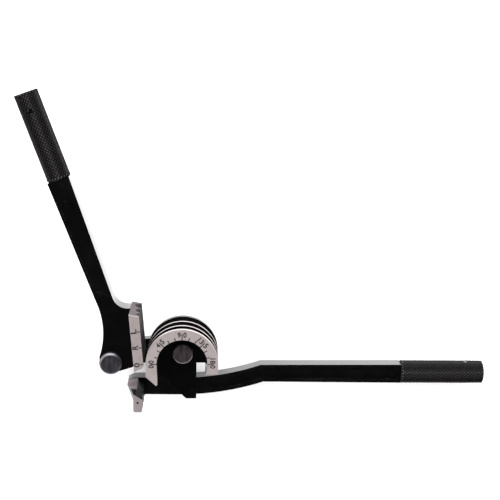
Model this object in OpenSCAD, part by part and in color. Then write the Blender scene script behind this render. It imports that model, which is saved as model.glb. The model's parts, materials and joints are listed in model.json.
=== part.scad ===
// Lever tube bender with a three-groove bend form, lying on its back.
// Millimetres. +X runs along the base handle, +Z is out of the dial. The shapes are
// written round the bend axis, and placed() moves them so that the origin is the
// middle of the whole tool's footprint, on the surface that the grips lie on.

/* [Bend form] */
// Bend radius: from the bend axis to the rim, which is at the middle of the tube
bend_r = 23.8; // [22:0.1:26]
// Radius of the cup inside the form
cup_r = 16.7; // [15:0.1:17.5]
// Tube diameter of the front groove
front_tube_d = 6; // [5:0.5:6]
// Tube diameter of the middle groove
middle_tube_d = 8; // [7:0.5:8]
// Tube diameter of the rear groove
rear_tube_d = 10; // [9:0.5:10]
// Wall in front of the front groove
front_lip = 2.5; // [2:0.1:3]
// Wall between two grooves
rib = 1.6; // [1.4:0.1:1.8]
// Wall behind the rear groove
back_lip = 3; // [2.5:0.1:3.5]
// Straight length of the form below the bend axis, on the side where bending starts
tail_l = 8.9; // [7:0.1:10]
// Straight length of the form below the bend axis, on the far side
far_leg_l = 6.9; // [5:0.1:7]
// Thickness of the web across the cup, and of its foot
web_t = 7; // [6:0.5:8]

/* [Handles] */
// Thickness of the base handle
bar_t = 10; // [9:0.5:11]
// Height of the base handle's bar under the form
bar_h = 12.3; // [12:0.1:13]
// Height of the base handle's bar where it meets the grip
bar_end_h = 13.3; // [12.5:0.1:14]
// Distance from the bend axis to the base handle's grip
reach = 151.8; // [140:0.1:160]
// Diameter of both grips
grip_d = 16; // [15:0.5:17]
// Length of both grips
grip_l = 58.7; // [50:0.1:65]
// Thickness of the bending handle
lever_t = 13; // [12:0.5:13.5]
// Distance from the handle pin to the bending handle's grip, along the shank
lever_reach = 126.6; // [110:0.1:135]
// Lean of the bending handle away from square to the link, in degrees
lever_lean = 15.2; // [10:0.1:20]

/* [Link and pins] */
// Distance between the centre pin and the handle pin
link_l = 48; // [47:0.1:50]
// Thickness of the link
link_t = 6.3; // [5.5:0.1:6.4]
// Half the link's width
link_r = 8.6; // [8:0.1:9]
// Diameter of both pins
pin_d = 8; // [7:0.5:9]
// How far the bending handle stands back from the zero mark, in degrees
stand_back = 4.8; // [0:0.1:6]

/* [Hidden] */
$fn = 96;
eps = 0.01;
paint = [0.07, 0.07, 0.08];
bare = [0.78, 0.75, 0.73];
pin_steel = [0.38, 0.35, 0.36];
fixed_fit = 0.02;   // radial room of a part that doesn't turn
running_fit = 0.05; // radial room of a part that turns
end_play = 0.1;     // room between faces that turn on each other

// Levels above the surface
grip_r = grip_d / 2;
bar_back = grip_r - bar_t / 2;
bar_front = bar_back + bar_t;

// Grooves, front to back: radius and depth of the centre behind the dial
tube_play = 0.05;
groove_r = [for (d = [front_tube_d, middle_tube_d, rear_tube_d]) d / 2 + tube_play];
groove_depth = [
    front_lip + groove_r[0],
    front_lip + 2 * groove_r[0] + rib + groove_r[1],
    front_lip + 2 * groove_r[0] + 2 * groove_r[1] + 2 * rib + groove_r[2]];
form_t = groove_depth[2] + groove_r[2] + back_lip;
dial = bar_front + form_t;
web_front = bar_front + web_t;

// Centreline of the bar: low under the form, then an arc up to the straight grip end
bar_low = -27.45;
bar_high = -17.85;
bar_left = -37.9;
arc_start = -2;
arc_r = 172;
arc_steps = 16;
end_steps = 12;
kink_short = 0.5;
arc_rise = bar_high - bar_low;
arc_turn = acos(1 - arc_rise / arc_r);
kink_x = arc_start + arc_r * sin(arc_turn);
bar_top = bar_low + bar_h / 2;
bar_bottom = bar_low - bar_h / 2;

// Forged panels in the faces of both handles
flange = 2.3;
panel_deep = 1.4;
panel_left = 21.5;
boss_r = 2.3;
boss_h = 0.9;

// Spigots inside the grips
spigot_r = 4.7;
spigot_l = 50;
cross_pin_r = 1.5;
cross_pin_at = 46.5;
cross_pin_sunk = 0.7;
grip_chamfer = 0.8;

// Pins, washers and clips, from the back: clip, end washer, link, thrust washer
pin_r = pin_d / 2;
washer_t = 1;
washer_r = 8;
end_washer_r = 7.5;
thrust_washer_z = bar_front - washer_t;
link_front = thrust_washer_z - end_play;
link_back = link_front - link_t;
end_washer_z = link_back - end_play - washer_t;
clip_t = 1;
clip_z = end_washer_z - 0.2 - clip_t;
clip_r = 6;
clip_seat_r = pin_r - 0.8;
pin_end = clip_z - 0.9;
bush_wall = 1.5;
bush_r = pin_r + running_fit + bush_wall;
centre_head_r = 6.9;
centre_head_t = 5.4;
handle_head_r = 7.5;
handle_head_t = 2.9;

// Bending handle, in its own axes: the handle pin is the centre and +Y is the shank
lever_back = bar_front + 6;
lever_front = lever_back + lever_t;
lever_mid = lever_back + lever_t / 2;
hub_r = 7.8;
hub_back = bar_front + end_play;
shank_off = 11.8;
shank_panel_deep = 0.8;
shank_w = 12.5;
shank_end_w = 14.6;

// Bending shoe, round the bend axis with the handle closed at the zero mark
shoe_gap = 1.5;
shoe_face = -bend_r - shoe_gap;
shoe_w = 6.4;
shoe_play = 0.3;    // how far the shoe's grooves stand off a tube in the form
shoe_left = shoe_face - shoe_w;
shoe_top = 36.5;
shoe_bottom = -2.9;
shoe_back = bar_front + 0.4;

// Hook that holds the tube against the form's tail
hook_face = -bend_r - 2.4;
hook_left = bar_left;
hook_neck = -35.1;
hook_root = -30.6;
hook_tip_w = 5.9;
hook_bottom = bar_bottom;

// Screws: radius, head radius, head depth and place
screw_r = 2;
screw_head_r = 3.2;
screw_head_t = 2.6;
form_screw_at = [[-1.5, -25.3], [6.3, -29.5]];
form_screw_short = [1.6, 0.3]; // how far each tip stops short of the foot's front
hook_screw_r = 1.5;
hook_screw_head_r = 2.7;
hook_screw_at = [[-34.3, -25.2], [-31, -30.2]];
hook_screw_l = 9;
shoe_screw_y = [10, 26];
shoe_screw_l = 16;
shoe_screw_bite = 2.2;

// Footprint of the whole tool round the bend axis, for the origin
lever_angle = lever_lean + stand_back;
pin_at = -link_l * [cos(stand_back), sin(stand_back)];
grip_end = pin_at + [shank_off * cos(lever_angle) - (lever_reach + grip_l) * sin(lever_angle),
    shank_off * sin(lever_angle) + (lever_reach + grip_l) * cos(lever_angle)];
// The grip's end is chamfered, so its left corner is one chamfer back from the end
left_end = grip_end[0] - grip_r * cos(lever_angle) + grip_chamfer * sin(lever_angle);
top_end = grip_end[1] + (grip_r - grip_chamfer) * sin(lever_angle);
foot_bottom = -33.8;
right_end = reach + grip_l;
footprint = [(left_end + right_end) / 2, (top_end + foot_bottom) / 2];

// Shapes written round the bend axis, put where the tool lies
module placed() {
    translate([-footprint[0], -footprint[1], 0]) children();
}

// Shapes of the link and the bending handle, drawn as they stand at the zero mark
module swung() {
    placed() rotate(stand_back) children();
}

// Shapes in the bending handle's own axes
module on_lever() {
    swung() translate([-link_l, 0, 0]) rotate(lever_lean) children();
}

module slab(z0, z1) {
    translate([0, 0, z0]) linear_extrude(z1 - z0) children();
}

module rod(r, z0, z1) {
    translate([0, 0, z0]) cylinder(r = r, h = z1 - z0);
}

// A round head with a chamfered rim
module head(r, z0, t, chamfer) {
    rod(r, z0, z0 + t - chamfer);
    translate([0, 0, z0 + t - chamfer]) cylinder(r1 = r, r2 = r - chamfer, h = chamfer);
}

// ---- Base handle

// A point of the bar's arc: t degrees round it, off millimetres above the centreline
function arc_point(t, off) = [arc_start + (arc_r - off) * sin(t),
    bar_low + arc_r - (arc_r - off) * cos(t)];

// One side of the arc, from t0 degrees to just short of the kink
function arc_side(off, t0) = [for (i = [0 : arc_steps])
    arc_point(t0 + (arc_turn - kink_short - t0) * i / arc_steps, off)];

function kink_corner(off) = [kink_x, bar_high]
    + off / cos(arc_turn / 2) * [-sin(arc_turn / 2), cos(arc_turn / 2)];

function reversed(points) = [for (i = [len(points) - 1 : -1 : 0]) points[i]];

// Points of a half circle, from its first side round to the other
function round_end(middle, r, from) = [for (i = [1 : end_steps - 1])
    middle + r * [cos(from + 180 * i / end_steps), sin(from + 180 * i / end_steps)]];

module bar_outline() {
    polygon(concat([[hook_neck, bar_bottom]], arc_side(-bar_h / 2, 0),
        [kink_corner(-bar_h / 2), [reach, bar_high - bar_end_h / 2],
            [reach, bar_high + bar_end_h / 2], kink_corner(bar_h / 2)],
        reversed(arc_side(bar_h / 2, 0)),
        [[bar_left + 4, bar_top], [bar_left, bar_top - 2], [bar_left, bar_top - 3.8]]));
}

// The two sunk panels, with a rib between them at the kink
module bar_panels() {
    half = bar_h / 2 - flange;
    end_half = bar_end_h / 2 - flange;
    right = [reach - 5.8, bar_high];
    from = [kink_x + 1.5, bar_high];
    t0 = asin((panel_left - arc_start) / arc_r);
    polygon(concat(arc_side(-half, t0), reversed(arc_side(half, t0)),
        round_end(arc_point(t0, 0), half, 90 + t0)));
    polygon(concat([from - [0, end_half], right - [0, end_half]],
        round_end(right, end_half, -90), [right + [0, end_half], from + [0, end_half]]));
}

module base_handle() {
    bosses = [67, 122, 146.4];
    color(paint) placed() {
        difference() {
            slab(bar_back, bar_front) bar_outline();
            slab(bar_front - panel_deep, bar_front + 1) bar_panels();
            slab(bar_back - 1, bar_back + panel_deep) bar_panels();
            for (at = form_screw_at) translate(at) {
                rod(screw_r + fixed_fit, 0, dial);
                rod(screw_head_r + fixed_fit, 0, bar_back + screw_head_t);
            }
            for (at = hook_screw_at) translate(at) {
                rod(hook_screw_r + fixed_fit, 0, dial);
                rod(hook_screw_head_r + fixed_fit, 0, bar_back + screw_head_t);
            }
        }
        for (x = bosses) translate([x, bar_high])
            rod(boss_r, bar_front - 2 * panel_deep, bar_front - panel_deep + boss_h);
        difference() {
            translate([reach - 1, bar_high, grip_r]) rotate([0, 90, 0])
                cylinder(r = spigot_r, h = spigot_l + 1);
            translate([reach + cross_pin_at, bar_high, grip_r]) rotate([90, 0, 0])
                cylinder(r = cross_pin_r + fixed_fit, h = grip_d, center = true);
        }
    }
}

// ---- Grips, drawn along +Z with the mouth at the bottom

module grip_sleeve() {
    difference() {
        union() {
            rod(grip_r, grip_chamfer, grip_l - grip_chamfer);
            for (end = [0, 1]) translate([0, 0, end * grip_l]) mirror([0, 0, end])
                cylinder(r1 = grip_r - grip_chamfer, r2 = grip_r, h = grip_chamfer);
        }
        translate([0, 0, -eps]) cylinder(r = spigot_r + fixed_fit, h = spigot_l + 0.5);
        translate([0, 0, cross_pin_at]) rotate([90, 0, 0])
            cylinder(r = cross_pin_r + fixed_fit, h = 2 * grip_d, center = true);
    }
}

module cross_pin() {
    translate([0, 0, cross_pin_at]) rotate([90, 0, 0])
        cylinder(r = cross_pin_r, h = grip_d - 2 * cross_pin_sunk, center = true);
}

module at_base_grip() {
    placed() translate([reach, bar_high, grip_r]) rotate([0, 90, 0]) children();
}

module at_lever_grip() {
    on_lever() translate([shank_off, lever_reach, lever_mid]) rotate([-90, 0, 0]) children();
}

module base_grip() {
    color(paint) at_base_grip() grip_sleeve();
}

module base_grip_pin() {
    color(pin_steel) at_base_grip() cross_pin();
}

module lever_grip() {
    color(paint) at_lever_grip() grip_sleeve();
}

module lever_grip_pin() {
    color(pin_steel) at_lever_grip() cross_pin();
}

// ---- Bend form

// Section across the rim: the wall from radius inner outwards, with its three grooves
module rim_section(inner) {
    difference() {
        translate([inner, bar_front]) square([bend_r - inner, form_t]);
        for (i = [0 : 2]) translate([bend_r, dial - groove_depth[i]]) circle(groove_r[i]);
    }
}

// The same section drawn out straight down from the bend axis
module straight_rim(inner, length) {
    rotate([90, 0, 0]) linear_extrude(length) rim_section(inner);
}

// The far leg keeps the round wall of the cup; the tail ends in a slanted tip
module rim() {
    tail_inner = 16.2;
    tip = tail_l + 5.5;
    rotate_extrude(angle = 180) rim_section(cup_r);
    difference() {
        straight_rim(cup_r - 3, far_leg_l);
        rod(cup_r, 0, dial + 1);
    }
    mirror([1, 0, 0]) intersection() {
        straight_rim(tail_inner, tip + 1);
        slab(0, dial + 1) polygon([[tail_inner + 0.5, 0], [bend_r + 1, 0], [bend_r + 1, -tail_l],
            [bend_r, -tail_l], [tail_inner + 0.9, -tip - 0.6], [tail_inner, -tip],
            [tail_inner, -tail_l]]);
    }
}

// Web across the cup, with the foot that stands in front of the bar
module web_outline() {
    web_bottom = -7.8;
    foot_right = 9.25;
    overlap = 0.5;
    intersection() {
        circle(cup_r + overlap);
        translate([-bend_r, web_bottom]) square([2 * bend_r, 2 * bend_r]);
    }
    polygon([[-cup_r - overlap, 0], [-cup_r - overlap, -19.2], [-13, -19.2],
        [2.2, foot_bottom], [foot_right, foot_bottom], [foot_right, 0]]);
}

module bend_form() {
    color(bare) placed() difference() {
        union() {
            rim();
            slab(bar_front, web_front) web_outline();
        }
        rod(pin_r + fixed_fit, 0, dial);
        translate(form_screw_at[0])
            rod(screw_r + fixed_fit, 0, web_front - form_screw_short[0] + 0.3);
        translate(form_screw_at[1]) rod(screw_r + fixed_fit, 0, dial);
    }
}

module form_screws() {
    color(pin_steel) placed() for (i = [0, 1]) translate(form_screw_at[i]) difference() {
        union() {
            rod(screw_r, bar_back + 1, web_front - form_screw_short[i]);
            rod(screw_head_r, bar_back + 0.1, bar_back + screw_head_t);
        }
        translate([0, 0, bar_back]) cylinder(r = 1.7, h = 1.5, $fn = 6);
    }
}

// ---- Hook

// Seen from the front: the top falls away towards the tube, and the foot is round
module hook_front() {
    ridge = [hook_face - hook_tip_w + 0.7, bar_top - 0.3];
    foot_r = 1.2;
    polygon(concat([[hook_neck, ridge[1]], ridge, [hook_face, ridge[1] - 3.4]],
        arc([hook_face - foot_r, hook_bottom + foot_r], foot_r, 0, -90, 8),
        arc([hook_face - hook_tip_w + foot_r, hook_bottom + foot_r], foot_r, -90, -170, 6),
        [[hook_neck, hook_bottom + foot_r]]));
}

// Seen from below
module hook_plan() {
    polygon([[hook_root, bar_front], [hook_face, bar_front], [hook_face, dial],
        [hook_face - hook_tip_w, dial]]);
}

// The shoulder that backs the finger, cut off by a slope on its outer side
module hook_shoulder() {
    slope_at = [-38.8, -24.9, bar_front];
    slope = [0, 79.5, 203.2];
    difference() {
        intersection() {
            slab(bar_front, dial) polygon([[hook_root + 2, bar_bottom], [hook_neck, bar_bottom],
                [hook_left, bar_top - 3.8], [hook_left, bar_top - 2.2],
                [hook_left + 4, bar_top - 0.3], [hook_neck + 4, bar_top - 0.3]]);
            rotate([90, 0, 0]) linear_extrude(2 * bend_r)
                polygon([[hook_left, bar_front], [hook_root + 2, bar_front],
                    [hook_face - hook_tip_w + 1.5, dial - 1.5],
                    [hook_face - hook_tip_w + 0.1, dial - 1.5], [hook_left, bar_front + 9]]);
        }
        translate(slope_at) rotate(slope) translate([-2 * bend_r, -2 * bend_r, 0])
            cube([4 * bend_r, 4 * bend_r, bend_r]);
    }
}

module tube_hook() {
    tip_dimple = [-29.2, -27];
    color(paint) placed() difference() {
        union() {
            intersection() {
                slab(bar_front, dial) hook_front();
                rotate([90, 0, 0]) linear_extrude(2 * bend_r) hook_plan();
            }
            hook_shoulder();
        }
        for (i = [0 : 2]) translate([-bend_r, 0, dial - groove_depth[i]]) rotate([90, 0, 0])
            cylinder(r = groove_r[i], h = 2 * bend_r);
        for (at = hook_screw_at) translate(at)
            rod(hook_screw_r + fixed_fit, 0, bar_front + hook_screw_l + 0.5);
        translate(tip_dimple) rod(0.8, dial - 1.2, dial + 1);
    }
}

module hook_screws() {
    color(pin_steel) placed() for (at = hook_screw_at) translate(at) difference() {
        union() {
            rod(hook_screw_r, bar_back + 1, bar_front + hook_screw_l);
            rod(hook_screw_head_r, bar_back + 0.1, bar_back + screw_head_t);
        }
        translate([0, 0, bar_back]) cylinder(r = 1.4, h = 1.3, $fn = 6);
    }
}

// ---- Pins, washers, clips and bushes, drawn on the Z axis

module pin_body(top) {
    difference() {
        rod(pin_r, pin_end, top + eps);
        difference() {
            rod(pin_r + 1, clip_z - 0.1, clip_z + clip_t + 0.1);
            rod(clip_seat_r, 0, dial);
        }
    }
}

module ring(outer, inner, z, t) {
    difference() {
        rod(outer, z, z + t);
        rod(inner, z - 1, z + t + 1);
    }
}

// A spring clip with an open side, pushed on from +X
module clip() {
    mouth = 2 * clip_seat_r - 0.6;
    difference() {
        rod(clip_r, clip_z, clip_z + clip_t);
        rod(clip_seat_r + fixed_fit, 0, dial);
        translate([0, -mouth / 2, 0]) cube([clip_r + 1, mouth, dial]);
        for (side = [-1, 1]) rotate(180 + 62 * side) translate([clip_seat_r + 0.7, 0, 0])
            rod(1, 0, dial);
    }
}

module at_handle_pin() {
    swung() translate([-link_l, 0, 0]) children();
}

module centre_pin() {
    color(pin_steel) placed() {
        pin_body(web_front);
        head(centre_head_r, web_front, centre_head_t, 0.6);
    }
}

module handle_pin() {
    color(pin_steel) at_handle_pin() {
        pin_body(lever_front + end_play);
        head(handle_head_r, lever_front + end_play, handle_head_t, 1.2);
    }
}

module centre_thrust_washer() {
    color(bare) placed() ring(washer_r, pin_r + running_fit, thrust_washer_z, washer_t);
}

module handle_thrust_washer() {
    color(bare) at_handle_pin() ring(washer_r, pin_r + running_fit, thrust_washer_z, washer_t);
}

module centre_end_washer() {
    color(bare) placed() ring(end_washer_r, pin_r + running_fit, end_washer_z, washer_t);
}

module handle_end_washer() {
    color(bare) at_handle_pin() ring(end_washer_r, pin_r + running_fit, end_washer_z, washer_t);
}

module centre_clip() {
    color(pin_steel) placed() rotate(90) clip();
}

module handle_clip() {
    color(pin_steel) at_handle_pin() rotate(90) clip();
}

module centre_bush() {
    color("peru") swung() ring(bush_r, pin_r + running_fit, link_back, link_t);
}

module handle_bush() {
    color("peru") at_handle_pin()
        ring(bush_r, pin_r + running_fit, hub_back, lever_front - hub_back);
}

// ---- Link

module swing_link() {
    color(paint) swung() difference() {
        slab(link_back, link_front) {
            circle(link_r);
            translate([-link_l, 0]) circle(link_r);
            translate([-link_l, -link_r]) square([link_l, 2 * link_r]);
        }
        rod(bush_r + fixed_fit, 0, dial);
        translate([-link_l, 0, 0]) rod(pin_r + fixed_fit, 0, dial);
    }
}

// ---- Bending handle

// A point of the bending handle's own axes, in the axes of the zero mark
function lever_point(x, y) = [-link_l + x * cos(lever_lean) - y * sin(lever_lean),
    x * sin(lever_lean) + y * cos(lever_lean)];

// Points along an arc round a middle, from one angle to another
function arc(middle, r, from, to, steps) = [for (i = [0 : steps])
    middle + r * [cos(from + (to - from) * i / steps), sin(from + (to - from) * i / steps)]];

// Lug and shank seen from the front, at the zero mark: up the shoe's side, round the
// crook, up the shank to the grip, and back down through the waist to the hub
module lever_outline() {
    crook = [-32.6, 47];
    crook_r = 10.2;
    waist = [-104.2, 25.9];
    waist_r = 53.3;
    end_half = shank_end_w / 2;
    polygon(concat([[-link_l + 1, -7.2], [-34, -4.2], [shoe_left, -3]],
        arc(crook, crook_r, 275, 194, 12),
        [lever_point(shank_off + end_half, lever_reach),
            lever_point(shank_off - end_half, lever_reach)],
        arc(waist, waist_r, 19.2, -23.2, 16), [[-link_l - hub_r + 0.4, 1]]));
}

// The shank's sunk panel in the bending handle's own axes
module shank_panel() {
    from = 52;
    to = lever_reach - 20;
    half = shank_w / 2 - flange;
    end_half = shank_end_w / 2 - flange;
    low = [shank_off - 0.6, from];
    high = [shank_off - 0.1, to];
    polygon(concat([low + [half, 0], high + [end_half, 0]], round_end(high, end_half, 0),
        [high - [end_half, 0], low - [half, 0]], round_end(low, half, 180)));
}

module bending_handle() {
    bosses = [44.6, lever_reach - 17, lever_reach - 4.6];
    color(paint) {
        difference() {
            union() {
                swung() slab(lever_back, lever_front) lever_outline();
                at_handle_pin() rod(hub_r, hub_back, lever_front);
                on_lever() translate([shank_off, lever_reach - 1, lever_mid]) rotate([-90, 0, 0])
                    cylinder(r = spigot_r, h = spigot_l + 1);
            }
            at_handle_pin() rod(bush_r + fixed_fit, 0, dial);
            on_lever() {
                slab(lever_front - shank_panel_deep, dial) shank_panel();
                slab(0, lever_back + shank_panel_deep) shank_panel();
                translate([shank_off, lever_reach + cross_pin_at])
                    rod(cross_pin_r + fixed_fit, 0, dial);
            }
            swung() for (y = shoe_screw_y) translate([shoe_left, y, lever_mid])
                rotate([0, -90, 0]) {
                    translate([0, 0, -1]) cylinder(r = screw_r + fixed_fit, h = 40);
                    translate([0, 0, shoe_screw_l - shoe_screw_bite - screw_head_t])
                        cylinder(r = screw_head_r + fixed_fit, h = 20);
                }
        }
        on_lever() for (y = bosses) translate([shank_off - 0.3, y])
            rod(boss_r, lever_mid, lever_front + 0.4);
    }
}

// ---- Bending shoe

module shoe_outline() {
    polygon([[shoe_left, shoe_bottom], [shoe_face - 0.9, shoe_bottom + 2],
        [shoe_face, shoe_bottom + 4.2], [shoe_face, shoe_top - 1.8], [shoe_left, shoe_top]]);
}

module bending_shoe() {
    color(bare) swung() difference() {
        slab(shoe_back, dial) shoe_outline();
        for (i = [0 : 2])
            translate([-bend_r - shoe_play, 2 * bend_r, dial - groove_depth[i]])
                rotate([90, 0, 0]) cylinder(r = groove_r[i], h = 3 * bend_r);
        for (y = shoe_screw_y) translate([shoe_left - 1, y, lever_mid]) rotate([0, 90, 0])
            cylinder(r = screw_r + fixed_fit, h = shoe_screw_bite + 1.3);
    }
}

// The screws lie along -X from their tips in the shoe to their heads in the lug
module shoe_screws() {
    color(pin_steel) swung() for (y = shoe_screw_y)
        translate([shoe_left + shoe_screw_bite, y, lever_mid]) rotate([0, -90, 0])
            difference() {
                union() {
                    cylinder(r = screw_r, h = shoe_screw_l - 1);
                    translate([0, 0, shoe_screw_l - screw_head_t + 0.1])
                        cylinder(r = screw_head_r, h = screw_head_t);
                }
                translate([0, 0, shoe_screw_l - 1.2]) cylinder(r = 1.7, h = 4, $fn = 6);
            }
}

base_handle();
base_grip();
base_grip_pin();
bend_form();
form_screws();
tube_hook();
hook_screws();
centre_pin();
centre_thrust_washer();
centre_end_washer();
centre_clip();
swing_link();
centre_bush();
handle_pin();
handle_thrust_washer();
handle_end_washer();
handle_clip();
bending_handle();
handle_bush();
lever_grip();
lever_grip_pin();
bending_shoe();
shoe_screws();
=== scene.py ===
import json
import math
from functools import reduce

import bpy
from mathutils import Matrix, Vector

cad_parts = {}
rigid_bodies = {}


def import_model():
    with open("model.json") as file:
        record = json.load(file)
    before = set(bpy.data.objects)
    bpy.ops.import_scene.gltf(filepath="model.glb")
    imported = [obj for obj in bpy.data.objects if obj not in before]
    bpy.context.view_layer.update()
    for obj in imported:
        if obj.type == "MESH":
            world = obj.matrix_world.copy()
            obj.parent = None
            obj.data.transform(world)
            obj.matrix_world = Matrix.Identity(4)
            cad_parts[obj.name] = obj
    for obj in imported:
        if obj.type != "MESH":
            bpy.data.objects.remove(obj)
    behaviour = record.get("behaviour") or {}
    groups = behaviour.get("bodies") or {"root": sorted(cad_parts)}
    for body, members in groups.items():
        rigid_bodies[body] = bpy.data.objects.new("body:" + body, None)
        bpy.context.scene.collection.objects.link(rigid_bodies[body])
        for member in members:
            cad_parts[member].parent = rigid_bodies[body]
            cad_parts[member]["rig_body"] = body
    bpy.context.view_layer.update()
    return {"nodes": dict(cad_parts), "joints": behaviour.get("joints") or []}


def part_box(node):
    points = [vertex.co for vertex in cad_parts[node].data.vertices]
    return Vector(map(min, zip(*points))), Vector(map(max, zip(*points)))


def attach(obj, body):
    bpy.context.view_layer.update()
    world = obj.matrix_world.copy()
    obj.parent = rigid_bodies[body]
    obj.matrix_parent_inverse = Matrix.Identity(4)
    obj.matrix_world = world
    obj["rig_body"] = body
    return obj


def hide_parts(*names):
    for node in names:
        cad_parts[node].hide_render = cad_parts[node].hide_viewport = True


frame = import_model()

MM = 0.001


# ---- Places and sizes of the CAD model

def middle(node):
    low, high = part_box(node)
    return (low + high) / 2


def joint_place(name):
    return Vector(next(j["pos_m"] for j in frame["joints"] if j["name"] == name))


BEND_AXIS = joint_place("link_swing")
HANDLE_AXIS = joint_place("handle_swing")
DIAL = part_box("bend_form")[1].z
BEND_R = BEND_AXIS.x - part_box("bend_form")[0].x
CUP_R = 16.7 * MM
# Angle by which the link and the bending handle stand back from the zero mark
STAND_BACK = math.atan2(BEND_AXIS.y - HANDLE_AXIS.y, BEND_AXIS.x - HANDLE_AXIS.x)
SHANK_LEAN = math.radians(15.2)
LEVER_LEAN = STAND_BACK + SHANK_LEAN
# The three grooves: how far behind the dial they lie, and their radii
GROOVE_DEPTH = (5.55 * MM, 14.25 * MM, 24.95 * MM)
GROOVE_R = (3.05 * MM, 4.05 * MM, 5.05 * MM)
SHOE_PLAY = 0.3 * MM
PIN_HEAD_R = 6.5 * MM
GRIP_R = 8 * MM
GRIP_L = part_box("base_grip")[1].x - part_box("base_grip")[0].x


# ---- Making pieces

def only(piece):
    """Selects this piece and nothing else."""
    bpy.ops.object.select_all(action="DESELECT")
    piece.select_set(True)
    bpy.context.view_layer.objects.active = piece


def modify(piece, kind, **settings):
    """Adds a modifier, sets it and applies it."""
    modifier = piece.modifiers.new(kind.lower(), kind)
    for name, value in settings.items():
        setattr(modifier, name, value)
    only(piece)
    bpy.ops.object.modifier_apply(modifier=modifier.name)


def bevel_edges(piece, width, segments=2):
    modify(piece, "BEVEL", width=width, segments=segments, limit_method="ANGLE",
           angle_limit=math.radians(28), use_clamp_overlap=True, miter_outer="MITER_ARC")


def smooth(piece, angle=35):
    """Smooth shading across soft edges, with the large faces kept flat."""
    only(piece)
    bpy.ops.object.shade_smooth_by_angle(angle=math.radians(angle))
    modify(piece, "WEIGHTED_NORMAL", mode="FACE_AREA", weight=90, keep_sharp=True)


def finish(piece, material, body, slot, *replaced):
    piece.data.materials.clear()
    piece.data.materials.append(material)
    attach(piece, body)
    if replaced:
        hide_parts(*replaced)
    return piece


def eased(node, name, edge, material, slot, segments=2, facet=35):
    """The CAD node's own shape with its edges eased, as after tumbling or painting."""
    source = frame["nodes"][node]
    piece = bpy.data.objects.new(name, source.data.copy())
    bpy.context.scene.collection.objects.link(piece)
    only(piece)
    bpy.ops.object.mode_set(mode="EDIT")
    bpy.ops.mesh.select_all(action="SELECT")
    bpy.ops.mesh.customdata_custom_splitnormals_clear()
    bpy.ops.mesh.remove_doubles(threshold=0.002 * MM)
    bpy.ops.mesh.dissolve_limited(angle_limit=math.radians(0.6))
    bpy.ops.object.mode_set(mode="OBJECT")
    bevel_edges(piece, edge, segments)
    smooth(piece, facet)
    return finish(piece, material, source["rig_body"], slot, node)


# ---- Finishes

class Value:
    """A socket of a finish's tree. Sums written on it add Math nodes."""

    def __init__(self, tree, socket):
        self.tree, self.socket = tree, socket

    def sum(self, operation, *terms):
        return self.tree.node("ShaderNodeMath", {"operation": operation}, dict(enumerate(terms)))

    def __add__(self, other):
        return self.sum("ADD", self, other)

    def __mul__(self, other):
        return self.sum("MULTIPLY", self, other)

    def __sub__(self, other):
        return self.sum("SUBTRACT", self, other)

    def __rsub__(self, other):
        return self.sum("SUBTRACT", other, self)

    def __pow__(self, other):
        return self.sum("POWER", self, other)

    def most(self, other):
        return self.sum("MAXIMUM", self, other)

    def least(self, other):
        return self.sum("MINIMUM", self, other)

    def rise(self, start, end):
        """0 below start, 1 above end, and even in between."""
        return self.tree.node("ShaderNodeMapRange", {"clamp": True},
                              {0: self, 1: start, 2: end, 3: 0.0, 4: 1.0})

    __radd__ = __add__
    __rmul__ = __mul__


class Finish:
    """A finish's material and the tree that makes it."""

    def __init__(self, name):
        self.material = bpy.data.materials.new(name)
        self.material.use_nodes = True
        self.nodes = self.material.node_tree.nodes
        self.nodes.clear()
        self.place = self.node("ShaderNodeTexCoord", output="Object")
        apart = self.nodes.new("ShaderNodeSeparateXYZ")
        self.material.node_tree.links.new(self.place.socket, apart.inputs[0])
        self.x, self.y, self.z = (Value(self, apart.outputs[i]) for i in range(3))

    def node(self, kind, settings={}, inputs={}, output=0):
        made = self.nodes.new(kind)
        for name, setting in settings.items():
            setattr(made, name, setting)
        for key, value in inputs.items():
            if isinstance(value, Value):
                self.material.node_tree.links.new(value.socket, made.inputs[key])
            else:
                made.inputs[key].default_value = value
        return Value(self, made.outputs[output])

    def noise(self, size, detail=2.0, place=None, stretch=(1, 1, 1), roughness=0.5):
        """Noise whose grains are about size metres across, from 0 to 1."""
        at = self.node("ShaderNodeMapping", {}, {0: place or self.place,
                                                 3: tuple(s / size for s in stretch)})
        return self.node("ShaderNodeTexNoise", {},
                         {"Vector": at, "Scale": 1.0, "Detail": detail,
                          "Roughness": roughness})

    def drawn_noise(self, *ways, detail, roughness):
        """Noise drawn out along two or three ways, each a distance and its grains' length."""
        rates = [way * (1 / length) for way, length in ways] + [0.0] * (3 - len(ways))
        return self.noise(1.0, detail, self.node("ShaderNodeCombineXYZ", {},
                                                 dict(enumerate(rates))), roughness=roughness)

    def mix(self, factor, first, second):
        colours = {6: first if isinstance(first, Value) else (*first, 1),
                   7: second if isinstance(second, Value) else (*second, 1)}
        return self.node("ShaderNodeMix", {"data_type": "RGBA"}, {0: factor, **colours}, output=2)

    def bump(self, height, depth):
        return self.node("ShaderNodeBump", {}, {"Strength": 1.0, "Distance": depth,
                                                "Height": height})

    def surface(self, **sockets):
        names = {"colour": "Base Color", "rough": "Roughness", "metal": "Metallic",
                 "normal": "Normal", "coat": "Coat Weight", "coat_rough": "Coat Roughness",
                 "specular": "Specular IOR Level"}
        shader = self.node("ShaderNodeBsdfPrincipled", {},
                           {names[name]: value for name, value in sockets.items()})
        end = self.nodes.new("ShaderNodeOutputMaterial")
        self.material.node_tree.links.new(shader.socket, end.inputs[0])
        return self.material


BARE_STEEL = (0.38, 0.335, 0.33)
CLEAN_PAINT = (0.0003, 0.0003, 0.0004)
DUSTY_PAINT = (0.0012, 0.0010, 0.0012)


def span(x, y):
    """Length of the line whose two parts are x and y."""
    return (x * x + y * y) ** 0.5


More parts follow.
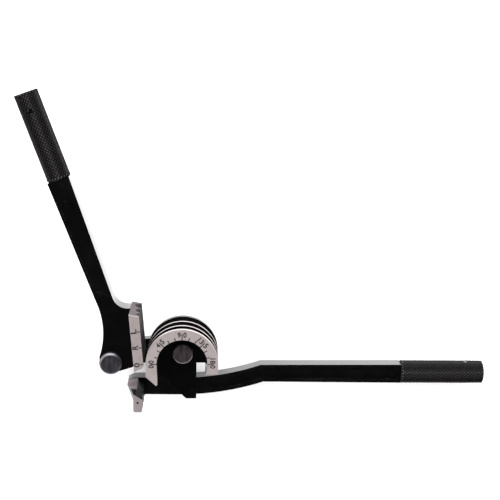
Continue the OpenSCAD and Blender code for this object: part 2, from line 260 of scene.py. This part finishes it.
def paint_colour(tree, dust):
    return tree.mix(dust, CLEAN_PAINT, DUSTY_PAINT)


def black_paint():
    """Glossy black enamel over a forging: a little orange peel, a little dust."""
    tree = Finish("black_paint")
    cloud = tree.noise(9 * MM, detail=4)
    peel = tree.noise(0.9 * MM, detail=1)
    forged = tree.noise(3.2 * MM, detail=3)
    return tree.surface(colour=paint_colour(tree, cloud.rise(0.45, 0.8)),
                        rough=0.17 + 0.08 * cloud, specular=0.5, coat=0.6, coat_rough=0.10,
                        normal=tree.bump(0.35 * peel + forged, 0.035 * MM))


def bend_distance(tree):
    """Distance out from the bend axis or, below it, from the upright plane through it."""
    return span(tree.x - BEND_AXIS.x, (tree.y - BEND_AXIS.y).most(0.0))


def bare_metal(tree, tint, worn):
    """Colour of bare steel that has picked up a little stain."""
    stain = tree.noise(5 * MM, detail=5, roughness=0.6)
    return tree.mix(stain.rise(0.42, 0.72) * worn, tint, tuple(0.72 * t for t in tint))


def form_steel():
    """Bare turned steel on the dial and the rims, black in the grooves, the cup and the web."""
    tree = Finish("form_steel")
    back_land = 15.5 * MM     # the rim below this level is black
    ring_dark, rim_tint = (0.26, 0.225, 0.22), (0.34, 0.31, 0.31)
    true_out = span(tree.x - BEND_AXIS.x, tree.y - BEND_AXIS.y)
    ring = tree.drawn_noise((true_out, 0.16 * MM), (tree.z, 50 / 3 * MM),
                            detail=2, roughness=0.7)
    cross = tree.noise(2.2 * MM, detail=3, stretch=(1, 0.5, 1))
    cloud = tree.noise(6 * MM, detail=4)
    outermost = bend_distance(tree).rise(BEND_R - 0.06 * MM, BEND_R - 0.03 * MM)
    rims = outermost * tree.z.rise(back_land, back_land + 1 * MM)
    bare = tree.z.rise(DIAL - 0.05 * MM, DIAL - 0.02 * MM).most(rims)
    steel = tree.mix(ring.rise(0.3, 0.75) * 0.42, bare_metal(tree, BARE_STEEL, 0.5), ring_dark)
    steel = tree.mix(rims, steel, rim_tint)
    return tree.surface(colour=tree.mix(bare, paint_colour(tree, cloud), steel),
                        metal=bare * 0.8, rough=0.16 + 0.08 * cross + bare * (0.31 + ring * 0.1),
                        normal=tree.bump(ring * bare + cross * 0.2, 0.012 * MM))


def shoe_steel():
    """Ground steel: bare on the front, darkened on the sides and top end as painted shade, and
    painted inside the grooves.
    """
    tree = Finish("shoe_steel")
    streak_dark, shaded_side_tint = (0.22, 0.185, 0.185), (0.058, 0.045, 0.051)
    turn_x, turn_y = math.cos(STAND_BACK), math.sin(STAND_BACK)
    x, y = tree.x - BEND_AXIS.x, tree.y - BEND_AXIS.y
    across = x * turn_x + y * turn_y
    along = y * turn_x - x * turn_y
    streak = tree.drawn_noise((across, 0.3 * MM), (along, 16 * MM), (tree.z, 6 * MM),
                              detail=3, roughness=0.65)
    cloud = tree.noise(5 * MM, detail=4)
    side = across + BEND_R + SHOE_PLAY
    in_groove = reduce(Value.most, (
        span(side, tree.z - (DIAL - depth)).rise(r + 0.16 * MM, r + 0.06 * MM)
        for depth, r in zip(GROOVE_DEPTH, GROOVE_R)))
    front = tree.z.rise(DIAL - 0.5 * MM, DIAL - 0.35 * MM)
    steel = tree.mix(streak.rise(0.35, 0.7) * 0.45, bare_metal(tree, BARE_STEEL, 0.45),
                     streak_dark)
    # Painted shade: away from the front face the shoe takes a dark tint that stands for the shade
    # on its sides and top end.
    steel = tree.mix(front, shaded_side_tint, steel)
    return tree.surface(colour=tree.mix(in_groove, steel, paint_colour(tree, cloud)),
                        metal=0.8 - in_groove * 0.8, rough=0.46 + 0.12 * streak,
                        normal=tree.bump(streak, 0.01 * MM))


def hook_paint():
    """Black paint, ground bare on the tip's front and on the top of the shoulder."""
    tree = Finish("hook_paint")
    ground, ground_dark = (0.32, 0.275, 0.28), (0.17, 0.14, 0.15)
    finger_root = (31 * MM, 35 * MM)    # levels between which the shoulder's top turns from bare to black
    slope, fall = 0.475, 1.9 * MM       # of the chamfer at the shoulder's left end
    left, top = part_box("tube_hook")[0].x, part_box("tube_hook")[1].y
    cloud = tree.noise(9 * MM, detail=4)
    peel = tree.noise(0.9 * MM, detail=1)
    grind = tree.drawn_noise((tree.x + tree.z, 0.35 * MM), (tree.x - tree.z, 9 * MM),
                             detail=3, roughness=0.7)
    tip = tree.z.rise(DIAL - 0.5 * MM, DIAL - 0.4 * MM)
    chamfer = ((tree.x - left) * slope - fall).least(0.0)
    shoulder = (tree.y - chamfer).rise(top - 0.6 * MM, top - 0.5 * MM)
    shoulder = shoulder * (1 - tree.z.rise(*finger_root))
    bare = tip.most(shoulder)
    steel = tree.mix(grind.rise(0.35, 0.7) * 0.5, ground, ground_dark)
    return tree.surface(colour=tree.mix(bare, paint_colour(tree, cloud.rise(0.45, 0.8)), steel),
                        metal=bare * 0.8, specular=0.1, rough=0.2 + 0.1 * cloud + bare * 0.26,
                        normal=tree.bump(0.35 * peel + grind * bare, 0.02 * MM))


def pin_steel():
    """Dark oiled steel with a faced end; the handle's pin is painted darker than the centre pin
    as painted shade.
    """
    tree = Finish("pin_steel")
    half_way = HANDLE_AXIS.x + 20 * MM    # parts the two pins
    out = reduce(Value.least, (span(tree.x - axis.x, tree.y - axis.y)
                               for axis in (BEND_AXIS, HANDLE_AXIS)))
    ring = tree.drawn_noise((out, 0.22 * MM), (tree.z, 10 / 3 * MM), detail=3, roughness=0.7)
    smear = tree.noise(2.2 * MM, detail=4, stretch=(1.0, 0.35, 1.0))
    # Painted shade: the handle pin takes darker colours than the centre pin, though both are the
    # same steel.
    handle_pin = 1 - tree.x.rise(half_way, half_way + 2 * MM)
    dull = tree.mix(handle_pin, (0.060, 0.046, 0.051), (0.024, 0.023, 0.028))
    bright = tree.mix(handle_pin, (0.15, 0.12, 0.13), (0.07, 0.066, 0.078))
    rim = tree.mix(handle_pin, (0.15, 0.135, 0.14), (0.075, 0.07, 0.075))
    face = tree.mix(smear.rise(0.3, 0.75), dull, bright)
    at_rim = out.rise(PIN_HEAD_R - 0.4 * MM, PIN_HEAD_R - 0.05 * MM)
    return tree.surface(colour=tree.mix(at_rim, face, rim), metal=0.9,
                        rough=0.42 + 0.14 * ring, normal=tree.bump(ring + smear, 0.012 * MM))


def plain_steel(name, colour, rough, grain=0.25 * MM):
    """Turned or drawn steel with fine grain and a little stain."""
    tree = Finish(name)
    fine = tree.noise(grain, detail=2)
    stain = tree.noise(4 * MM, detail=4)
    return tree.surface(colour=tree.mix(stain.rise(0.35, 0.75), colour,
                                        tuple(0.6 * c for c in colour)),
                        metal=1.0, rough=rough + 0.12 * fine,
                        normal=tree.bump(fine, 0.008 * MM))


def knurled_black():
    """Blackened knurling, with the points painted lighter than the valleys as a painted highlight
    for the glints of their facets.
    """
    tree = Finish("knurled_black")
    # The second colour is a painted highlight on the knurl's points, standing for the glints of
    # their facets.
    valley, peak_glint = (0.0006, 0.0005, 0.0006), (0.10, 0.090, 0.090)

    def out_of(grip, turn):
        centre = middle(grip)
        x, y = tree.x - centre.x, tree.y - centre.y
        return span(y * math.cos(turn) - x * math.sin(turn), tree.z - centre.z)
    out = out_of("base_grip", 0.0).least(out_of("lever_grip", math.pi / 2 + LEVER_LEAN))
    cloud = tree.noise(7 * MM, detail=4)
    peak = out.rise(GRIP_R - 0.16 * MM, GRIP_R - 0.03 * MM)
    return tree.surface(colour=tree.mix(peak * (0.35 + 0.65 * cloud), valley, peak_glint),
                        specular=0.07, rough=0.26 + 0.12 * cloud,
                        normal=tree.bump(tree.noise(0.5 * MM, detail=2), 0.01 * MM))


def mark_black():
    """Black filler in the engraved marks."""
    tree = Finish("mark_black")
    grit = tree.noise(0.35 * MM, detail=3)
    return tree.surface(colour=tree.mix(grit, (0.002, 0.0016, 0.0016), (0.008, 0.007, 0.007)),
                        rough=0.5 + 0.2 * grit, normal=tree.bump(grit, 0.01 * MM))


def floor_board():
    """Matt white board under the tool."""
    tree = Finish("pale_floor")
    cloud = tree.noise(0.25, detail=3)
    return tree.surface(colour=tree.mix(cloud, (0.90, 0.90, 0.90), (0.93, 0.93, 0.93)),
                        rough=0.6 + 0.1 * cloud)


BLACK = black_paint()
KNURL = knurled_black()
FORM = form_steel()
SHOE = shoe_steel()
HOOK = hook_paint()
PINS = pin_steel()
SCREWS = plain_steel("screw_steel", (0.17, 0.16, 0.16), 0.34)
WASHERS = plain_steel("washer_steel", (0.55, 0.53, 0.52), 0.32)
CLIPS = plain_steel("spring_steel", (0.12, 0.12, 0.13), 0.36)
BRONZE = plain_steel("bronze", (0.50, 0.31, 0.15), 0.36)
MARKS = mark_black()


# ---- The forged, cast, turned and ground pieces

eased("base_handle", "base_handle_forging", 0.7 * MM, BLACK, "black_paint", 3)
eased("bending_handle", "bending_handle_forging", 0.7 * MM, BLACK, "black_paint", 3)
eased("swing_link", "swing_link_plate", 0.5 * MM, BLACK, "black_paint")
eased("bend_form", "bend_form_casting", 0.45 * MM, FORM, "form_steel")
eased("tube_hook", "tube_hook_casting", 0.4 * MM, HOOK, "black_paint")
eased("bending_shoe", "bending_shoe_block", 0.25 * MM, SHOE, "shoe_steel")
eased("centre_pin", "centre_pin_turned", 0.2 * MM, PINS, "pin_steel")
eased("handle_pin", "handle_pin_turned", 0.2 * MM, PINS, "pin_steel")
for pivot in ("centre", "handle"):
    for washer in (f"{pivot}_thrust_washer", f"{pivot}_end_washer"):
        eased(washer, f"{washer}_plain", 0.1 * MM, WASHERS, "washer_steel")
    eased(f"{pivot}_clip", f"{pivot}_clip_spring", 0.1 * MM, CLIPS, "spring_steel")
    eased(f"{pivot}_bush", f"{pivot}_bush_bronze", 0.15 * MM, BRONZE, "bronze")
for screws in ("form_screws", "hook_screws", "shoe_screws"):
    eased(screws, f"{screws}_turned", 0.18 * MM, BLACK if screws == "form_screws" else SCREWS,
          "screw_steel")
for pin in ("base_grip_pin", "lever_grip_pin"):
    eased(pin, f"{pin}_turned", 0.3 * MM, BLACK, "screw_steel", 3)


# ---- Knurled grips, modelled along +Z with the mouth at the bottom and then placed

BORE_R = 4.72 * MM
BORE_L = 50.5 * MM
BORE_CHAMFER = 0.35 * MM
KNURL_ROUND = 24          # diamonds round the grip
KNURL_PITCH = 2.6 * MM    # their length along it
KNURL_DEEP = 0.55 * MM
COLLAR_R = GRIP_R - 0.25 * MM
MOUTH_R = GRIP_R - 0.95 * MM
# Lengths at the mouth: knurling down to the collar, the collar, its chamfer
RUN_OUT, COLLAR_L, CHAMFER_L = 0.25 * MM, 0.45 * MM, 1.0 * MM
# Lengths at the closed end: knurling down to the collar, the rounding
END_RUN_OUT, END_CLIMB = 0.2 * MM, 1.0 * MM
END_TURNS = (0, 25, 50, 72, 90)
KNURL_LOW = RUN_OUT + COLLAR_L + CHAMFER_L
KNURL_HIGH = GRIP_L - END_RUN_OUT - END_CLIMB
KNURL_ROWS = round((KNURL_HIGH - KNURL_LOW) / (KNURL_PITCH / 2))
ROW = (KNURL_HIGH - KNURL_LOW) / KNURL_ROWS
CROSS_PIN_AT = 46.5 * MM
CROSS_HOLE_R = 1.62 * MM


def select_where(piece, test):
    """In edit mode, selects the vertices whose place passes the test, and nothing else."""
    bpy.ops.mesh.select_mode(type="VERT")
    bpy.ops.mesh.select_all(action="DESELECT")
    bpy.ops.object.mode_set(mode="OBJECT")
    for vertex in piece.data.vertices:
        vertex.select = bool(test(vertex.co))
    bpy.ops.object.mode_set(mode="EDIT")


def step(radius_from, radius_to, rise):
    """Extrudes the selected ring along Z and sizes it to a new radius."""
    bpy.ops.mesh.extrude_region_move(TRANSFORM_OT_translate={"value": (0, 0, rise)})
    ratio = radius_to / radius_from
    bpy.ops.transform.resize(value=(ratio, ratio, 1), center_override=(0, 0, 0))


def knurled_sleeve(name):
    """An open tube in rows, with every other corner pressed in to part the diamonds."""
    bpy.ops.object.select_all(action="DESELECT")
    bpy.ops.mesh.primitive_cylinder_add(vertices=2 * KNURL_ROUND, radius=GRIP_R,
                                        depth=KNURL_HIGH - KNURL_LOW,
                                        end_fill_type="NOTHING",
                                        location=(0, 0, (KNURL_LOW + KNURL_HIGH) / 2))
    piece = bpy.context.object
    piece.name = name
    bpy.ops.object.transform_apply(location=True, rotation=True, scale=True)
    bpy.ops.object.mode_set(mode="EDIT")
    bpy.ops.mesh.select_mode(type="EDGE")
    bpy.ops.mesh.select_all(action="DESELECT")
    bpy.ops.object.mode_set(mode="OBJECT")
    for edge in piece.data.edges:
        a, b = (piece.data.vertices[i].co for i in edge.vertices)
        edge.select = abs(a.z - b.z) > ROW
    bpy.ops.object.mode_set(mode="EDIT")
    bpy.ops.mesh.subdivide(number_cuts=KNURL_ROWS - 1)

    def valley(at):
        column = round(math.atan2(at.y, at.x) / (math.pi / KNURL_ROUND))
        return (column + round((at.z - KNURL_LOW) / ROW)) % 2 == 0
    select_where(piece, valley)
    ratio = (GRIP_R - KNURL_DEEP) / GRIP_R
    bpy.ops.transform.resize(value=(ratio, ratio, 1), center_override=(0, 0, 0))
    bpy.ops.mesh.select_all(action="SELECT")
    bpy.ops.mesh.quads_convert_to_tris(quad_method="SHORTEST_DIAGONAL")
    return piece


def mouth_and_bore(piece):
    """In edit mode, the plain collar and its chamfer at the mouth, and the blind bore."""
    select_where(piece, lambda at: at.z < KNURL_LOW + 0.1 * ROW)
    step(GRIP_R - KNURL_DEEP / 2, COLLAR_R, -RUN_OUT)
    step(COLLAR_R, COLLAR_R, -COLLAR_L)
    step(COLLAR_R, MOUTH_R, -CHAMFER_L)
    step(MOUTH_R, BORE_R + BORE_CHAMFER, 0.0)
    step(BORE_R + BORE_CHAMFER, BORE_R, 0.3 * MM)
    step(BORE_R, BORE_R, BORE_L)
    bpy.ops.mesh.edge_face_add()


def closed_end(piece, end_round):
    """In edit mode, the far end, which rounds inwards by end_round to a flat face."""
    select_where(piece, lambda at: at.z > KNURL_HIGH - 0.1 * ROW)
    step(GRIP_R - KNURL_DEEP / 2, COLLAR_R, END_RUN_OUT)
    radius = COLLAR_R
    for last, turn in zip(END_TURNS, END_TURNS[1:]):
        climb = math.sin(math.radians(turn)) - math.sin(math.radians(last))
        rounded = COLLAR_R - end_round * (1 - math.cos(math.radians(turn)))
        step(radius, rounded, END_CLIMB * climb)
        radius = rounded
    bpy.ops.mesh.edge_face_add()


def drill_cross_hole(piece):
    """The hole right through the grip for its cross pin."""
    bpy.ops.object.select_all(action="DESELECT")
    bpy.ops.mesh.primitive_cylinder_add(vertices=32, radius=CROSS_HOLE_R, depth=20 * MM,
                                        location=(0, 0, CROSS_PIN_AT),
                                        rotation=(math.pi / 2, 0, 0))
    drill = bpy.context.object
    bpy.ops.object.transform_apply(location=True, rotation=True, scale=True)
    modify(piece, "BOOLEAN", object=drill, operation="DIFFERENCE", solver="EXACT")
    bpy.data.objects.remove(drill)


def knurled_grip(name, place, body, node, end_round):
    """A whole grip, made upright and then turned and moved to its place."""
    piece = knurled_sleeve(name)
    mouth_and_bore(piece)
    closed_end(piece, end_round)
    bpy.ops.mesh.select_all(action="SELECT")
    bpy.ops.mesh.remove_doubles(threshold=0.001 * MM)
    bpy.ops.mesh.normals_make_consistent(inside=False)
    bpy.ops.object.mode_set(mode="OBJECT")
    drill_cross_hole(piece)
    piece.data.transform(place)
    smooth(piece, 20)
    return finish(piece, KNURL, body, "knurled_black", node)


def grip_place(node, direction, pin_upright):
    """Turns a grip's +Z to its direction in the XY plane, with its cross pin up or level."""
    along = Vector((math.cos(direction), math.sin(direction), 0))
    across = Vector((0, 0, 1)) if pin_upright else Vector((-along.y, along.x, 0))
    side = across.cross(along)
    turned = Matrix((side, across, along)).transposed().to_4x4()
    mouth = middle(node) - along * GRIP_L / 2
    return Matrix.Translation(mouth) @ turned


knurled_grip("base_grip_knurled", grip_place("base_grip", 0.0, False), "base", "base_grip",
             2.2 * MM)
knurled_grip("lever_grip_knurled", grip_place("lever_grip", math.pi / 2 + LEVER_LEAN, True),
             "lever", "lever_grip", 1.0 * MM)


# ---- Marks, cut and filled with black: thin inlays that stand a hair above the steel

INLAY_UNDER = 0.12 * MM
INLAY_OVER = 0.02 * MM
STROKE = 0.8 * MM
EVERY_TICK = 15           # degrees
LONG_TICK, SHORT_TICK = 4.4 * MM, 2.2 * MM
NUMERALS = {0: ("0", "0"), 45: ("4", "5"), 90: ("9", "0"), 135: ("13", "5"), 180: ("18", "0")}
NUMERALS_AT = 20.2 * MM   # out from the bend axis
DIGIT_W, DIGIT_H = 2.2 * MM, 3.7 * MM
TWO_DIGITS = 1.75         # width of a pair, in digits
END_GAP, GAP = 0.5 * MM, 0.8 * MM
SHOE_TICK = 1.9 * MM
LETTER_W, LETTER_H = 3.1 * MM, 3.9 * MM
# The shoe's marks: letter, place of its tick and of the letter along the shoe
SHOE_LETTERS = (("0", 2.1 * MM, 1.9 * MM), ("R", 13.6 * MM, 14.0 * MM),
                ("L", 24.5 * MM, 24.9 * MM))
# How far out from the form's rim the shoe's ticks begin, and its letters' middles
SHOE_TICKS_OUT, SHOE_LETTERS_OUT = 1.6 * MM, 5.7 * MM


def numeral(text, width, height):
    """A numeral or letter as a flat closed mesh, centred, of the given size."""
    bpy.ops.object.select_all(action="DESELECT")
    bpy.ops.object.text_add()
    sign = bpy.context.object
    sign.data.body = text
    sign.data.resolution_u = 4
    sign.data.extrude = 0.5
    sign.data.offset = 0.034    # thickens the strokes
    bpy.ops.object.convert(target="MESH")
    corners = [v.co for v in sign.data.vertices]
    low = Vector(tuple(min(c[i] for c in corners) for i in range(3)))
    high = Vector(tuple(max(c[i] for c in corners) for i in range(3)))
    size = high - low
    sign.data.transform(Matrix.Diagonal((width / size.x, height / size.y,
                                         (INLAY_UNDER + INLAY_OVER) / size.z, 1))
                        @ Matrix.Translation(-(low + high) / 2))
    return sign


def tick(length):
    """A straight mark along +Y from the origin."""
    bpy.ops.object.select_all(action="DESELECT")
    bpy.ops.mesh.primitive_cube_add(size=1, location=(0, length / 2, 0),
                                    scale=(STROKE, length, INLAY_UNDER + INLAY_OVER))
    mark = bpy.context.object
    bpy.ops.object.transform_apply(location=True, rotation=True, scale=True)
    bevel_edges(mark, 0.06 * MM, 1)
    return mark


def laid(mark, turn, x, y):
    """Lays a mark on the dial's level, turned about the bend axis and moved out."""
    level = DIAL + (INLAY_OVER - INLAY_UNDER) / 2
    mark.data.transform(Matrix.Translation((BEND_AXIS.x, BEND_AXIS.y, level))
                        @ Matrix.Rotation(turn, 4, "Z") @ Matrix.Translation((x, y, 0)))
    return mark


def joined(marks, name, body):
    bpy.ops.object.select_all(action="DESELECT")
    for mark in marks:
        mark.select_set(True)
    bpy.context.view_layer.objects.active = marks[0]
    bpy.ops.object.join()
    piece = bpy.context.object
    piece.name = name
    bpy.ops.object.mode_set(mode="EDIT")
    bpy.ops.mesh.select_all(action="SELECT")
    bpy.ops.mesh.remove_doubles(threshold=0.0005 * MM)
    bpy.ops.mesh.normals_make_consistent(inside=False)
    bpy.ops.object.mode_set(mode="OBJECT")
    return finish(piece, MARKS, body, "mark_black")


def dial_marks():
    """A tick every 15 degrees, and at every 45 a long one that splits the numeral.
    Zero is at the left."""
    marks = []
    for degrees in range(0, 181, EVERY_TICK):
        turn = math.radians(90 - degrees)
        named = degrees in NUMERALS
        marks.append(laid(tick(LONG_TICK if named else SHORT_TICK), turn, 0, CUP_R - 0.02 * MM))
        if named:
            gap = END_GAP if degrees in (0, 180) else GAP
            for side, text in zip((-1, 1), NUMERALS[degrees]):
                width = DIGIT_W * (TWO_DIGITS if len(text) > 1 else 1)
                marks.append(laid(numeral(text, width, DIGIT_H), turn,
                                  side * (gap + width / 2), NUMERALS_AT))
    return joined(marks, "dial_marks", "base")


def shoe_marks():
    """The L, R and 0 marks on the shoe, their feet towards the form, with a tick each."""
    marks = []
    turn = math.pi / 2 + STAND_BACK
    for text, tick_at, letter_at in SHOE_LETTERS:
        marks.append(laid(tick(SHOE_TICK), turn, tick_at, BEND_R + SHOE_TICKS_OUT))
        marks.append(laid(numeral(text, LETTER_W, LETTER_H), turn, letter_at,
                          BEND_R + SHOE_LETTERS_OUT))
    return joined(marks, "shoe_marks", "lever")


dial_marks()
shoe_marks()


# ---- Floor, light and camera

def softbox(name, place, size, watts, colour=(1, 1, 1)):
    """A rectangular light that faces the middle of the tool."""
    light = bpy.data.lights.new(name, "AREA")
    light.shape = "RECTANGLE"
    light.size, light.size_y = size
    light.energy = watts
    light.color = colour
    lamp = bpy.data.objects.new(name, light)
    bpy.context.scene.collection.objects.link(lamp)
    lamp.location = place
    lamp.rotation_euler = (Vector((0, 0, 0)) - Vector(place)).to_track_quat("-Z", "Y").to_euler()


def studio():
    """A white floor under four low lights, with very little light from elsewhere."""
    bpy.ops.object.select_all(action="DESELECT")
    bpy.ops.mesh.primitive_plane_add(size=6, location=(0, 0, 0))
    ground = bpy.context.object
    ground.name = "studio_floor"
    ground.data.materials.append(floor_board())
    softbox("far_box", (0.0, 1.25, 0.42), (2.4, 0.7), 110)
    softbox("left_box", (-1.25, 0.1, 0.45), (0.7, 1.6), 30, (1.0, 0.97, 0.98))
    softbox("right_box", (1.25, 0.2, 0.45), (0.7, 1.6), 20)
    softbox("near_box", (0.1, -1.25, 0.5), (2.2, 0.7), 30)
    world = bpy.data.worlds.new("studio_air")
    bpy.context.scene.world = world
    world.use_nodes = True
    air = world.node_tree.nodes["Background"]
    air.inputs["Color"].default_value = (1, 1, 1, 1)
    air.inputs["Strength"].default_value = 0.025
    bpy.context.scene.view_settings.view_transform = "Standard"


EYE = (-0.0366, 0.1503, 0.6690)
EYE_TURN = (-13.056, -2.346, 1.094)    # degrees about X, Y and Z


def camera():
    """A long lens above the tool, a little beyond it and looking back."""
    lens = bpy.data.cameras.new("view_camera")
    lens.lens = 71.9
    lens.sensor_width = 36
    lens.clip_start = 0.01
    eye = bpy.data.objects.new("view_camera", lens)
    bpy.context.scene.collection.objects.link(eye)
    eye.location = EYE
    eye.rotation_euler = [math.radians(angle) for angle in EYE_TURN]
    bpy.context.scene.camera = eye


studio()
camera()
